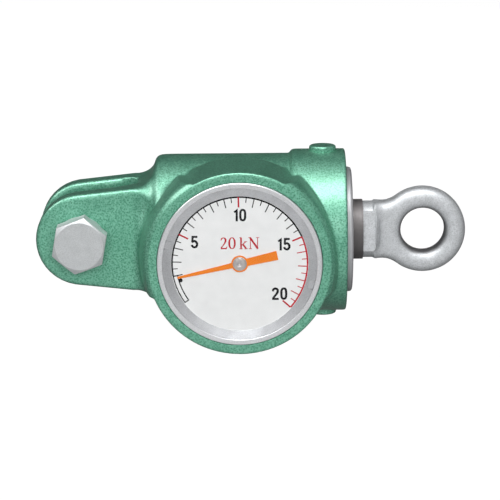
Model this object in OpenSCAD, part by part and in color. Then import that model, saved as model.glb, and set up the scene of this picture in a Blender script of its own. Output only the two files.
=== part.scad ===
// In-line hydraulic tension meter. A cast housing ends in a clevis on the left and carries a dial
// gauge in a drum on its front; a forged eye on the right pulls a piston against the oil inside.
// Millimetres. The origin is where the clevis bolt crosses the load axis. +X runs along the load
// axis to the eye, the dial faces -Y and +Z is up.

/* [Clevis] */
// Radius of the clevis bolt's shank
bolt_r = 8; // [7:0.5:8.5]
// Width of the gap between the two ears
fork_gap = 20; // [16:0.5:22]
// Thickness of one ear
ear_t = 12.5; // [10:0.5:13]
// Radius of the ears' round end
ear_end_r = 22.2; // [21:0.1:23]
// Distance from the bolt to the centre of that round end
ear_end_x = 0.5; // [0:0.1:1.5]
// Rounding along the ears' edges
ear_edge_r = 2.2; // [1.5:0.1:3]
// Half the ears' height where they run into the shoulder
ear_root_half = 26; // [25:0.1:27]
// Distance from the bolt to the bottom of the gap
gap_root_x = 26.5; // [25:0.5:28]
// Corner radius at the bottom of the gap
gap_root_r = 6; // [3:0.5:8]

/* [Barrel] */
// Outer radius of the barrel
barrel_r = 37.4; // [36.5:0.1:38]
// Distance from the bolt to the barrel's end face
barrel_x = 35.2; // [34.5:0.1:36.5]
// Rounding of the barrel's end
barrel_edge_r = 3; // [2:0.5:4]
// Length of the hollow sweep from the ears to the barrel
flare_len = 9.5; // [8:0.5:11]
// Length of the collar
collar_len = 26.9; // [25.5:0.1:28]
// Outer radius of the collar
collar_r = 39.4; // [38.6:0.1:40]
// Rounding of the collar's edge towards the barrel
collar_edge_r = 2.5; // [1.5:0.1:3]
// Rounding of the collar's open edge
collar_mouth_r = 1; // [0.5:0.1:1.5]
// Radius of the oil cylinder
bore_r = 22; // [21:0.25:23]
// Distance from the bolt to the blind end of the cylinder
bore_x = 44.5; // [43:0.5:45.5]
// Distance from the collar's start to its plugs
plug_reach = 16; // [12:0.1:18]
// Radius of a collar plug's head
plug_head_r = 6.5; // [5.5:0.1:7]
// Height of a plug's head above the collar
plug_rise = 2.3; // [1.5:0.1:3]

/* [Gauge drum] */
// Distance of the gauge's axis from the bolt along the load axis
gauge_x = 76.1; // [75.8:0.1:77]
// Height of the gauge's axis against the load axis
gauge_z = -7.5; // [-8:0.1:-6.5]
// Radius of the drum's front rim
drum_rim_r = 43.9; // [43:0.1:45]
// Distance of the rim from the load axis
drum_front = 44; // [43.8:0.1:46]
// Rounding of the rim's outer edge
drum_rim_edge_r = 1; // [0.5:0.1:1.5]
// Radius at the back of the drum
drum_back_r = 46.6; // [46:0.1:47.5]
// Distance of the drum's back from the load axis
drum_back = 14; // [12:0.5:16]
// Rounding of the drum's back edge
drum_back_edge_r = 4; // [2:0.5:5]
// Radius that the drum's cheeks reach at the left and the right
cheek_r = 48.2; // [47.6:0.1:50]
// Distance from the load axis at which the cheeks are widest
cheek_start = 20; // [18:0.5:22]
// Height of the cheeks above the load axis
cheek_top = 31; // [29:0.5:32]
// Depth of the cheeks below the load axis
cheek_low = 24; // [22:0.5:30]
// How far the right cheek laps over the collar
cheek_lap = 23.8; // [22:0.1:25]
// Corner radius of the cheeks seen from the front
cheek_corner_r = 7; // [4:0.5:9]
// Radius of the pocket for the gauge
pocket_r = 39.2; // [39.1:0.1:40.5]
// Distance of the pocket's floor from the load axis
pocket_floor = 25.5; // [25:0.1:26]

/* [Gauge case] */
// Running gap all round between the gauge and its pocket
gauge_clear = 0.1; // [0.05:0.05:0.3]
// Thickness of the case's floor
case_floor_t = 0.8; // [0.6:0.1:1]
// Outer radius of the case
case_r = 37.9; // [37.5:0.1:37.9]
// Radius of the ledge that carries the dial
case_ledge_r = 35.5; // [35:0.1:36]
// Radius of the rebate in front of the ledge
case_rebate_r = 36.9; // [36.7:0.1:37.1]
// Distance of the dial's face from the load axis
dial_face = 41.8; // [41.5:0.1:42]
// Thickness of the dial
dial_t = 0.6; // [0.4:0.1:0.8]
// Radius of the dial that shows inside the surround
dial_show_r = 32.5; // [31.5:0.1:33]
// Thickness of the lens
lens_t = 0.8; // [0.6:0.1:1]
// Thickness of the lens gasket
gasket_t = 0.5; // [0.4:0.1:0.6]
// Height of the space between the dial and the lens
dial_space = 1.4; // [1.3:0.1:1.6]
// Inner radius of the bezel's lip
bezel_lip_r = 36.6; // [36:0.1:36.8]
// Thickness of the bezel's lip
bezel_lip_t = 0.5; // [0.4:0.1:0.7]
// Length of the bezel's skirt behind the lip
bezel_skirt = 8; // [6:0.5:12]

/* [Pointer] */
// Distance from the pivot to the pointer's tip
pointer_tip = 30.2; // [29.5:0.1:31]
// Distance from the pivot to the end of the pointer's tail
pointer_tail = 18.2; // [12:0.1:22]
// Width of the pointer at its tip
pointer_tip_w = 1; // [0.6:0.1:1.2]
// Width of the pointer where the tip's blade meets the hub
pointer_root_w = 2.8; // [2:0.1:3.4]
// Width of the tail at the hub
tail_root_w = 3.3; // [2:0.1:4]
// Width of the tail at its end
tail_end_w = 4.4; // [2:0.1:5]
// Radius of the pointer's hub
hub_r = 4; // [3.6:0.1:5]
// Radius of the bright cap on the hub
cap_r = 3.3; // [2.5:0.1:3.5]
// Direction of the pointer at rest, in degrees from +X
pointer_rest = 192.5; // [192:0.1:193]
// Direction of the stop pin, in degrees from +X
stop_angle = 195.5; // [195.5:0.1:197]
// Distance from the pivot to the stop pin
stop_reach = 29; // [27:0.1:29.2]
// Radius of the stop pin
stop_r = 0.85; // [0.6:0.05:0.85]

/* [Movement] */
// Module of the toothed sector and its pinion
tooth_module = 0.3; // [0.28:0.01:0.3]
// Teeth on the pinion
pinion_teeth = 10; // [10:1:10]
// Teeth that a full sector wheel would have
wheel_teeth = 100; // [100:1:100]
// Direction from the pinion to the sector's pivot, in degrees from +X
sector_angle = -70; // [-72:1:-68]
// Length of the sector's tail lever
lever_len = 6.4; // [6:0.1:6.8]
// Direction of that lever at rest, in degrees from +X
lever_angle = -33; // [-35:1:-31]
// Radius of the Bourdon tube's bend
tube_bend_r = 26; // [25:0.1:27]
// Depth of the tube's flat section along the gauge's axis
tube_depth = 7; // [6:0.1:7]
// Width of the tube's flat section
tube_w = 2.6; // [2.2:0.1:2.8]
// Wall of the tube
tube_wall = 0.4; // [0.3:0.05:0.6]
// Thickness of a movement plate
plate_t = 1; // [0.8:0.1:1]
// Gap between the two movement plates
plate_gap = 5.2; // [5.2:0.1:5.4]

/* [End cap] */
// Radius of the end cap's disc
cap_disc_r = 30.4; // [28:0.1:32]
// Thickness of that disc
cap_disc_t = 3; // [2.6:0.1:3.6]
// Rounding of the disc's edge
cap_edge_r = 1.5; // [1:0.1:2]
// Distance from the bolt to the inner end of the cap's plug
cap_inner_x = 91; // [89:0.5:93]

/* [Rod and eye] */
// Radius of the eye's shank, which is the pull rod
rod_r = 11; // [10:0.25:11.5]
// Radius of the dark collar on the shank
dust_collar_r = 14.6; // [14:0.1:15]
// Length of the dark collar
dust_collar_len = 5.1; // [4:0.1:6]
// Gap between the end cap and the dark collar
collar_gap = 0.3; // [0.2:0.1:0.5]
// Radius of the eye's own collar
eye_neck_r = 13.8; // [13.2:0.1:14.2]
// Length of the eye's collar
eye_neck_len = 5.3; // [4.5:0.1:6]
// Distance from the collar's open end to the centre of the eye
eye_reach = 37.6; // [37:0.1:40]
// Radius of the eye's hole
eye_hole_r = 10.7; // [9.5:0.1:11]
// Outer radius of the eye
eye_r = 20.8; // [20.3:0.1:21.5]
// Thickness of the eye
eye_t = 14; // [12:0.1:15]
// Rounding of the eye's section
eye_round_r = 4.6; // [4:0.1:4.8]
// Radius of the sweep from the neck into the ring
eye_sweep_r = 12; // [10:0.5:14]
// Distance from the bolt to the piston's back face
piston_x = 62.5; // [61.5:0.5:63]
// Length of the piston
piston_len = 11; // [10:0.5:11]
// Number of balls in the swivel bearing
ball_count = 12; // [8:1:14]
// Diameter of one ball
ball_d = 4.5; // [4:0.1:4.6]

/* [Fasteners] */
// Width of the bolt's head and nut across their flats
hex_flats = 24; // [22:1:24]
// Height of the bolt's head
head_h = 10; // [9:0.1:11]
// Thickness of the spring washer
spring_washer_t = 3.8; // [3:0.1:4]
// Radius of the spring washer
spring_washer_r = 11.8; // [11.5:0.1:13]
// Thickness of the flat washer
washer_t = 3; // [2:0.1:3.5]
// Radius of the flat washer
washer_r = 15; // [14:0.1:16]
// Height of the nut
nut_h = 13; // [11:0.1:14]
// Length of the bolt that stands out of the nut
bolt_end = 3.2; // [1:0.1:5]
// Direction of one corner of the bolt's head, in degrees from +X
head_turn = 80; // [60:1:120]

/* [Hidden] */

// Facets of a full turn, and of the small rings that a hull wraps
fine = 96;
hull_turn = 40;
hull_edge = 16;
// Overrun of every cut, and the lap of solids that run into each other
cut = 1;
lap = 1;
// Radial gap of a shaft or seal that runs in a bore, and of pieces that screw together
fit = 0.05;
// Gap of a bolt in its holes
bolt_fit = 0.1;

// Clevis
ear_face = fork_gap / 2 + ear_t;
ear_mid = fork_gap / 2 + ear_t / 2;
ear_corner_r = 2.3 * ear_edge_r;
ear_corner_x = barrel_x - cut / 2;
ear_corner_z = ear_root_half - ear_corner_r;
ear_span = sqrt(pow(ear_corner_x - ear_end_x, 2) + pow(ear_corner_z, 2));
ear_slope = atan2(ear_corner_z, ear_corner_x - ear_end_x) - asin((ear_end_r - ear_corner_r) / ear_span);
function ear_half(x) = (ear_end_r + (x - ear_end_x) * sin(ear_slope)) / cos(ear_slope);

// Shoulder
barrel_face_r = barrel_r - barrel_edge_r;
flare_x = barrel_x - flare_len;
plan_flare_r = (pow(flare_len, 2) + pow(barrel_face_r - ear_face, 2)) / (2 * flare_len);
shoulder_corner_r = ear_edge_r
    + sqrt(pow(ear_face - ear_edge_r, 2) + pow(ear_half(flare_x) - ear_edge_r, 2));
collar_x = gauge_x + cheek_r - cheek_lap;
collar_end = collar_x + collar_len;
plug_x = collar_x + plug_reach;
eye_x = collar_end + eye_reach;

// Collar plugs
plug_stem_r = plug_head_r * 0.62;
plug_seat = sqrt(pow(collar_r, 2) - pow(plug_head_r, 2)) - plug_rise / 8;
plug_depth = plug_rise * 3;
plug_edge_r = plug_rise / 2;

// Gauge stack, as distances from the load axis
case_floor = pocket_floor + case_floor_t;
dial_back = dial_face - dial_t;
lens_back = dial_face + dial_space;
lens_face = lens_back + lens_t;
gasket_back = lens_back - gasket_t;
bezel_face = lens_face + bezel_lip_t;
bezel_r = pocket_r - gauge_clear;
stem_r = 5;
stem_end = pocket_floor - 3.3;
stem_bore_r = 1.2;
seal_r = 7;
seal_t = 1;
front_plate_h = dial_back - 2 - plate_t;
back_plate_h = front_plate_h - plate_gap - plate_t;
surround_lip = 0.3;
surround_top = lens_back - fit;
tab_w = 3.8;
tab_len = 2.8;
tab_angles = [164.4, -17];

// Movement
pinion_pitch_r = tooth_module * pinion_teeth / 2;
sector_pitch_r = tooth_module * wheel_teeth / 2;
sector_pivot = (pinion_pitch_r + sector_pitch_r) * [cos(sector_angle), sin(sector_angle)];
pointer_range = 234.2;
sector_range = pointer_range * pinion_teeth / wheel_teeth;
mesh_angle = sector_angle + 180;
arbor_r = 0.8;
arbor_top_r = 0.65;
sector_h = back_plate_h + plate_t + 1.8;
sector_t = 0.8;
link_t = 0.6;
link_h = sector_h + sector_t + 0.2;
pin_r = 0.6;
lever_pin = sector_pivot + lever_len * [cos(lever_angle), sin(lever_angle)];
tube_h = case_floor + 2.1;
tube_start = -108;
tube_end = 2;
tip_sweep = 10;
tip_pin = [tube_bend_r - 3.5, 0];
link_hole_play = 0.25;
socket_half = 7;
socket_top = 7;
tower_x = -9;
tower_w = 12;
tower_h = tube_h + tube_depth - case_floor + 0.8;
tower_y = [-tube_bend_r - 3, -tube_bend_r + 4.5];
pillar_r = 1.5;
plate_clear = 0.2;
pillar_places = [[-10, 3], [10, 4], [-5, tower_y[1] + plate_clear + 2 * pillar_r]];
spring_turns = 5;
spring_strip = 0.16;
spring_r = 5.4;
collet_r = 1.3;

// Swivel and piston
race_t = 2.2;
race_gap = ball_d * 7 / 9;
ball_track_r = 15.2;
ball_x = piston_x - race_t - race_gap / 2;
race_rear_x = ball_x - race_gap / 2 - race_t;
rod_nut_h = 7.6;
rod_end_x = race_rear_x - rod_nut_h - 1;
rod_nut_flats = 30;
dust_x = collar_end + cap_disc_t + collar_gap;
eye_neck_x = dust_x + dust_collar_len;
neck_end_x = eye_neck_x + eye_neck_len;
bevel_len = 2.8;
groove_w = 3.4;
groove_depth = 3;

// Fasteners
hex_r = hex_flats / 2 / cos(30);
head_seat = ear_face + spring_washer_t;
nut_seat = ear_face + washer_t;
bolt_tail = nut_seat + nut_h + bolt_end;

// Local Z runs along the load axis, starting at x
module along_load(x = 0) {
    translate([x, 0, 0]) rotate([0, 90, 0]) children();
}

// Local Z runs to the front along the clevis bolt, local Y is up
module along_bolt(h = 0) {
    translate([0, -h, 0]) rotate([90, 0, 0]) children();
}

// Local Z runs to the front along the gauge's axis, local Y is up
module on_gauge(h = 0) {
    translate([gauge_x, -h, gauge_z]) rotate([90, 0, 0]) children();
}

// A plain ring with its back face at height zero
module ring(r_out, r_in, h) {
    difference() {
        cylinder(r = r_out, h = h, $fn = fine);
        translate([0, 0, -cut]) cylinder(r = r_in, h = h + 2 * cut, $fn = fine);
    }
}

// A ring's section with rounded corners, in radius and height
module rounded_section(r_in, r_out, h, round_r) {
    translate([r_in + round_r, 0]) square([r_out - r_in - 2 * round_r, h]);
    translate([r_in, round_r]) square([r_out - r_in, h - 2 * round_r]);
    for (r = [r_in + round_r, r_out - round_r], z = [round_r, h - round_r])
        translate([r, z]) circle(r = round_r, $fn = 32);
}

// The two rings whose hull is a disc with rounded edges
module disc_rims(r, t) {
    for (side = [-1, 1])
        translate([0, 0, side * (t / 2 - ear_edge_r)])
            rotate_extrude($fn = hull_turn)
                translate([r - ear_edge_r, 0]) circle(r = ear_edge_r, $fn = hull_edge);
}

// One clevis ear: a round end that widens towards the barrel
module ear() {
    hull() {
        translate([ear_end_x, 0, 0]) disc_rims(ear_end_r, ear_t);
        for (side = [-1, 1])
            translate([ear_corner_x, side * ear_corner_z, 0]) disc_rims(ear_corner_r, ear_t);
    }
}

// Solid root that closes the gap between the ears
module fork_root() {
    root_x = gap_root_x - gap_root_r - lap;
    rotate([90, 0, 0]) linear_extrude(height = 2 * ear_mid, center = true)
        polygon([[root_x, -ear_half(root_x)], [barrel_x, -ear_half(barrel_x)],
            [barrel_x, ear_half(barrel_x)], [root_x, ear_half(root_x)]]);
}

// The gap between the ears, with rounded corners at its bottom
module fork_gap_cut() {
    linear_extrude(height = 2 * barrel_r, center = true) {
        translate([-ear_end_r - cut, -fork_gap / 2])
            square([gap_root_x - gap_root_r + ear_end_r + cut, fork_gap]);
        translate([-ear_end_r - cut, -fork_gap / 2 + gap_root_r])
            square([gap_root_x + ear_end_r + cut, fork_gap - 2 * gap_root_r]);
        for (side = [-1, 1])
            translate([gap_root_x - gap_root_r, side * (fork_gap / 2 - gap_root_r)])
                circle(r = gap_root_r, $fn = fine);
    }
}

// Hollow sweep between the flat ears and the round barrel, as it looks from one side
module flare_outline(half, sweep_r) {
    difference() {
        translate([flare_x, -barrel_face_r]) square([flare_len + lap, 2 * barrel_face_r]);
        for (side = [-1, 1])
            translate([barrel_x - sweep_r, side * half]) circle(r = sweep_r, $fn = fine);
    }
}

module shoulder() {
    intersection() {
        rotate([90, 0, 0]) linear_extrude(height = 2 * barrel_r, center = true)
            flare_outline(ear_half(flare_x) + flare_len, flare_len);
        linear_extrude(height = 2 * barrel_r, center = true)
            flare_outline(barrel_face_r, plan_flare_r);
        along_load() rotate_extrude($fn = fine)
            polygon([[0, flare_x], [shoulder_corner_r, flare_x], [barrel_face_r, barrel_x],
                [barrel_face_r - lap, barrel_x + lap], [0, barrel_x + lap]]);
    }
}

// Barrel and collar in radius and length
module barrel_section() {
    translate([0, barrel_x]) square([barrel_face_r, collar_end - barrel_x]);
    translate([0, barrel_x + barrel_edge_r]) square([barrel_r, collar_x - barrel_x]);
    translate([barrel_face_r, barrel_x + barrel_edge_r]) circle(r = barrel_edge_r, $fn = fine);
    translate([0, collar_x]) square([collar_r - collar_edge_r, collar_len]);
    translate([0, collar_x + collar_edge_r])
        square([collar_r, collar_len - collar_edge_r - collar_mouth_r]);
    translate([collar_r - collar_edge_r, collar_x + collar_edge_r])
        circle(r = collar_edge_r, $fn = fine);
    translate([collar_r - collar_mouth_r, collar_end - collar_mouth_r])
        circle(r = collar_mouth_r, $fn = fine);
    translate([0, collar_x + collar_edge_r])
        square([collar_r - collar_mouth_r, collar_len - collar_edge_r]);
}

// The drum tapers slightly towards its rim
module drum_section() {
    polygon([[0, drum_back], [drum_back_r - drum_back_edge_r, drum_back],
        [drum_back_r - drum_back_edge_r, drum_back + drum_back_edge_r],
        [drum_back_r, drum_back + drum_back_edge_r], [drum_rim_r, drum_front - drum_rim_edge_r],
        [drum_rim_r - drum_rim_edge_r, drum_front - drum_rim_edge_r],
        [drum_rim_r - drum_rim_edge_r, drum_front], [0, drum_front]]);
    translate([drum_back_r - drum_back_edge_r, drum_back + drum_back_edge_r])
        circle(r = drum_back_edge_r, $fn = fine);
    translate([drum_rim_r - drum_rim_edge_r, drum_front - drum_rim_edge_r])
        circle(r = drum_rim_edge_r, $fn = fine);
}

// The cheeks swell out of the rim to the left and the right, where the drum meets the shoulder
// and the collar, and stop flat above and below
module drum_cheeks() {
    swell_h = drum_front - drum_rim_edge_r - cheek_start;
    intersection() {
        on_gauge() rotate_extrude($fn = fine)
            polygon(concat([[0, drum_back], [cheek_r, drum_back]],
                [for (a = [0 : 10 : 90]) [drum_rim_r + (cheek_r - drum_rim_r) * cos(a),
                    cheek_start + swell_h * sin(a)]],
                [[0, cheek_start + swell_h]]));
        on_gauge(drum_back) translate([0, -gauge_z, 0])
            linear_extrude(height = drum_front - drum_back)
                offset(r = cheek_corner_r, $fn = 48) offset(delta = -cheek_corner_r)
                    intersection() {
                        translate([0, gauge_z]) circle(r = cheek_r + lap, $fn = fine);
                        translate([-2 * cheek_r, -cheek_low])
                            square([4 * cheek_r, cheek_top + cheek_low]);
                    }
    }
}

module housing() {
    color("mediumseagreen") difference() {
        union() {
            for (side = [-1, 1])
                along_bolt(side * ear_mid) ear();
            fork_root();
            shoulder();
            along_load() rotate_extrude($fn = fine) barrel_section();
            on_gauge() rotate_extrude($fn = fine) drum_section();
            drum_cheeks();
        }
        fork_gap_cut();
        along_bolt(-ear_face - cut) cylinder(r = bolt_r + bolt_fit, h = 2 * (ear_face + cut), $fn = fine);
        along_load(bore_x) cylinder(r = bore_r, h = collar_end - bore_x + cut, $fn = fine);
        on_gauge(pocket_floor) cylinder(r = pocket_r, h = drum_front - pocket_floor + cut, $fn = fine);
        on_gauge(pocket_floor - seal_t) cylinder(r = seal_r + fit, h = seal_t + cut, $fn = fine);
        on_gauge(stem_end) cylinder(r = stem_r + fit, h = pocket_floor - stem_end, $fn = fine);
        on_gauge() cylinder(r = stem_bore_r, h = stem_end + cut, $fn = fine);
        for (side = [0, 180])
            rotate([side, 0, 0]) translate([plug_x, 0, plug_seat - plug_depth]) {
                cylinder(r = plug_stem_r + fit, h = plug_depth + cut, $fn = fine);
                translate([0, 0, plug_depth])
                    cylinder(r = plug_head_r + fit, h = collar_r, $fn = fine);
            }
    }
}

// Blind plugs above and below in the collar
module collar_plugs() {
    head_h = collar_r + plug_rise - plug_seat;
    color("seagreen")
        for (side = [0, 180])
            rotate([side, 0, 0]) translate([plug_x, 0, plug_seat]) {
                rotate_extrude($fn = fine) {
                    square([plug_head_r - plug_edge_r, head_h]);
                    square([plug_head_r, head_h - plug_edge_r]);
                    translate([plug_head_r - plug_edge_r, head_h - plug_edge_r])
                        circle(r = plug_edge_r, $fn = 32);
                }
                translate([0, 0, fit - plug_depth])
                    cylinder(r = plug_stem_r, h = plug_depth, $fn = fine);
            }
}

// Grooves for the ring seals
cap_seal_x = cap_inner_x + groove_w * 2;
rod_seal_x = cap_inner_x + groove_w * 4;
wiper_x = collar_end - groove_w / 2;
piston_seal_x = piston_x + (piston_len - groove_w) / 2;

// Polished disc with a plug that closes the cylinder and guides the rod
module end_cap() {
    color("silver") along_load() rotate_extrude($fn = fine) difference() {
        union() {
            translate([rod_r + fit, cap_inner_x])
                square([bore_r - fit - rod_r - fit, collar_end + cap_disc_t / 2 - cap_inner_x]);
            translate([rod_r + fit, collar_end])
                square([cap_disc_r - rod_r - fit, cap_disc_t - cap_edge_r]);
            translate([rod_r + fit, collar_end])
                square([cap_disc_r - cap_edge_r - rod_r - fit, cap_disc_t]);
            translate([cap_disc_r - cap_edge_r, collar_end + cap_disc_t - cap_edge_r])
                circle(r = cap_edge_r, $fn = 32);
        }
        translate([bore_r - groove_depth, cap_seal_x]) square([groove_depth + cut, groove_w]);
        translate([rod_r - cut, rod_seal_x]) square([groove_depth + cut, groove_w]);
        translate([rod_r - cut, wiper_x]) square([groove_depth + cut, groove_w]);
    }
}

module ring_seal(x, r_in, r_out) {
    along_load(x + fit) rotate_extrude($fn = fine)
        rounded_section(r_in, r_out, groove_w - 2 * fit, groove_w / 4);
}

module cap_seal() {
    color("black") ring_seal(cap_seal_x, bore_r - groove_depth + fit, bore_r - fit);
}

module rod_seal() {
    color("black") ring_seal(rod_seal_x, rod_r + fit, rod_r + groove_depth - fit);
}

module rod_wiper() {
    color("black") ring_seal(wiper_x, rod_r + fit, rod_r + groove_depth - fit);
}

module piston() {
    color("lightsteelblue") along_load() rotate_extrude($fn = fine) difference() {
        translate([rod_r + fit, piston_x]) square([bore_r - rod_r - 2 * fit, piston_len]);
        translate([bore_r - groove_depth, piston_seal_x]) square([groove_depth + cut, groove_w]);
    }
}

module piston_seal() {
    color("black") ring_seal(piston_seal_x, bore_r - groove_depth + fit, bore_r - fit);
}

// Thrust bearing that lets the eye turn while it pulls
module thrust_race(x) {
    race_half = ball_d * 0.9;
    along_load() rotate_extrude($fn = fine) difference() {
        translate([ball_track_r - race_half, x]) square([2 * race_half, race_t]);
        translate([ball_track_r, ball_x]) circle(r = ball_d / 2 + fit, $fn = 48);
    }
}

module thrust_race_front() {
    color("gray") thrust_race(piston_x - race_t);
}

module thrust_race_rear() {
    color("gray") thrust_race(race_rear_x);
}

module thrust_balls() {
    color("silver")
        for (i = [0 : ball_count - 1])
            rotate([i * 360 / ball_count, 0, 0])
                translate([ball_x, 0, ball_track_r]) sphere(r = ball_d / 2, $fn = 32);
}

module rod_nut() {
    color("gray") along_load(race_rear_x - rod_nut_h) difference() {
        cylinder(r = rod_nut_flats / 2 / cos(30), h = rod_nut_h, $fn = 6);
        translate([0, 0, -cut]) cylinder(r = rod_r + fit, h = rod_nut_h + 2 * cut, $fn = fine);
    }
}

module dust_collar() {
    color("dimgray") along_load(dust_x) ring(dust_collar_r, rod_r + fit, dust_collar_len);
}

// The eye's web, as a row of rounded cross sections from the round neck to the flat ring
sweep_z = eye_neck_r + eye_sweep_r;
sweep_x = eye_x - sqrt(pow(eye_r + eye_sweep_r, 2) - pow(sweep_z, 2));
web_end_x = eye_x - (eye_x - sweep_x) * eye_r / (eye_r + eye_sweep_r);
web_shares = [0, 0.2, 0.42, 0.64, 0.84, 1];
web_depth_shares = [1, 0.45, 0.16, 0.05, 0, 0];
function web_half(x) = x < sweep_x ? eye_neck_r
    : sweep_z - sqrt(pow(eye_sweep_r, 2) - pow(x - sweep_x, 2));

module web_slice(i) {
    x = neck_end_x + (web_end_x - neck_end_x) * web_shares[i];
    half_h = web_half(x);
    half_t = eye_t / 2 + (eye_neck_r * 0.72 - eye_t / 2) * web_depth_shares[i];
    translate([x, 0, 0])
        for (y = [-1, 1], z = [-1, 1])
            translate([0, y * (half_t - eye_round_r), z * (half_h - eye_round_r)])
                rotate([0, 90, 0])
                    cylinder(r = eye_round_r, h = eye_round_r / 50, center = true, $fn = 24);
}

// Space inside the ring, with the ring's rounded inner edge left standing
module eye_hole_section() {
    flat_r = eye_hole_r + eye_round_r;
    difference() {
        translate([0, -eye_t / 2 - cut]) square([flat_r, eye_t + 2 * cut]);
        translate([eye_hole_r, -eye_t / 2 + eye_round_r])
            square([flat_r, eye_t - 2 * eye_round_r]);
        for (side = [-1, 1])
            translate([flat_r, side * (eye_t / 2 - eye_round_r)])
                circle(r = eye_round_r, $fn = fine);
    }
}

// Forged eye with its shank
module eye() {
    color("lightgray") {
        difference() {
            union() {
                translate([eye_x, 0, 0]) along_bolt(-eye_t / 2) rotate_extrude($fn = fine)
                    rounded_section(eye_hole_r, eye_r, eye_t, eye_round_r);
                for (i = [0 : len(web_shares) - 2])
                    hull() {
                        web_slice(i);
                        web_slice(i + 1);
                    }
                along_load() rotate_extrude($fn = fine)
                    polygon([[0, rod_end_x], [rod_r, rod_end_x], [rod_r, eye_neck_x],
                        [eye_neck_r, eye_neck_x], [eye_neck_r, neck_end_x],
                        [eye_neck_r * 0.76, neck_end_x + bevel_len], [0, neck_end_x + bevel_len]]);
            }
            translate([eye_x, 0, 0]) along_bolt() rotate_extrude($fn = fine) eye_hole_section();
        }
    }
}

// Cup that holds the gauge's works and carries the dial on a ledge
module gauge_case() {
    color("dimgray") on_gauge(pocket_floor) difference() {
        cylinder(r = case_r, h = gasket_back - pocket_floor, $fn = fine);
        translate([0, 0, case_floor_t]) cylinder(r = case_ledge_r, h = gasket_back, $fn = fine);
        translate([0, 0, dial_back - pocket_floor])
            cylinder(r = case_rebate_r, h = gasket_back, $fn = fine);
        translate([0, 0, -cut]) cylinder(r = stem_r + fit, h = gasket_back, $fn = fine);
    }
}

// Pressure socket: stem through the housing wall, base under the movement and tower for the tube
module gauge_socket() {
    color("goldenrod") difference() {
        union() {
            on_gauge(stem_end) cylinder(r = stem_r, h = case_floor + lap - stem_end, $fn = fine);
            on_gauge(case_floor) {
                translate([-socket_half, tower_y[0], 0])
                    cube([2 * socket_half, socket_top - tower_y[0], back_plate_h - case_floor]);
                translate([tower_x, tower_y[0], 0])
                    cube([tower_w, tower_y[1] - tower_y[0], tower_h]);
            }
        }
        on_gauge(stem_end - cut)
            cylinder(r = stem_bore_r, h = case_floor + lap - stem_end + cut, $fn = fine);
    }
}

module socket_seal() {
    color("orangered") on_gauge(pocket_floor - seal_t) ring(seal_r, stem_r + fit, seal_t);
}

// Flat oval section of the tube, with its middle at the bend radius
module tube_section(grow) {
    w = tube_w + 2 * grow;
    d = tube_depth + 2 * grow;
    translate([tube_bend_r - w / 2, -d / 2 + w / 2]) square([w, d - w]);
    for (side = [-1, 1])
        translate([tube_bend_r, side * (d - w) / 2]) circle(r = w / 2, $fn = 32);
}

// C-shaped pressure tube, open at its foot and closed by the tip piece
module bourdon_tube() {
    color("peru") on_gauge(tube_h + tube_depth / 2) rotate([0, 0, tube_end])
        rotate_extrude(angle = tube_start + 360 - tube_end, $fn = fine) difference() {
            tube_section(0);
            tube_section(-tube_wall);
        }
}

// End piece of the tube, with the pin that drives the link
module tube_tip() {
    lug_t = link_h - fit - tube_h - tube_depth / 2;
    color("goldenrod") {
        on_gauge(tube_h + tube_depth / 2) rotate([0, 0, tube_end - tip_sweep])
            rotate_extrude(angle = tip_sweep - fit, $fn = fine) tube_section(tube_wall);
        on_gauge(tube_h + tube_depth / 2) {
            translate([tip_pin[0] - 3 * pin_r, -3 * pin_r - tip_pin[1], lug_t - 2 * pin_r])
                cube([tube_bend_r - tip_pin[0] + 3 * pin_r, 4 * pin_r, 2 * pin_r]);
            translate([tip_pin[0], tip_pin[1], lug_t - lap / 2])
                cylinder(r = pin_r, h = link_t + lap, $fn = 24);
        }
    }
}

// Outline that both movement plates share, clear of the socket's tower
module plate_outline() {
    difference() {
        hull() {
            for (p = pillar_places)
                translate(p) circle(r = 2 * pillar_r, $fn = 32);
            translate(sector_pivot) circle(r = 3 * pillar_r, $fn = 32);
        }
        translate([tower_x - plate_clear, tower_y[0]])
            square([tower_w + 2 * plate_clear, tower_y[1] + plate_clear - tower_y[0]]);
    }
}

module movement_plate(h) {
    color("gold") on_gauge(h) difference() {
        linear_extrude(height = plate_t) plate_outline();
        translate([0, 0, -cut]) cylinder(r = arbor_r + fit, h = plate_t + 2 * cut, $fn = 48);
        translate([sector_pivot[0], sector_pivot[1], -cut])
            cylinder(r = arbor_r + fit, h = plate_t + 2 * cut, $fn = 48);
    }
}

module back_plate() {
    movement_plate(back_plate_h);
}

module front_plate() {
    movement_plate(front_plate_h);
}

module plate_pillars() {
    color("gold")
        for (p = pillar_places)
            on_gauge(back_plate_h + plate_t) translate([p[0], p[1], 0])
                cylinder(r = pillar_r, h = plate_gap, $fn = 32);
}

// One straight-sided gear tooth that points along +X from the pitch radius
module gear_tooth(pitch_r, t) {
    root = pitch_r - 1.4 * tooth_module;
    tip = pitch_r + 0.85 * tooth_module;
    linear_extrude(height = t)
        polygon([[root, -0.62 * tooth_module], [pitch_r, -0.56 * tooth_module],
            [tip, -0.26 * tooth_module], [tip, 0.26 * tooth_module],
            [pitch_r, 0.56 * tooth_module], [root, 0.62 * tooth_module]]);
}

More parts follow.
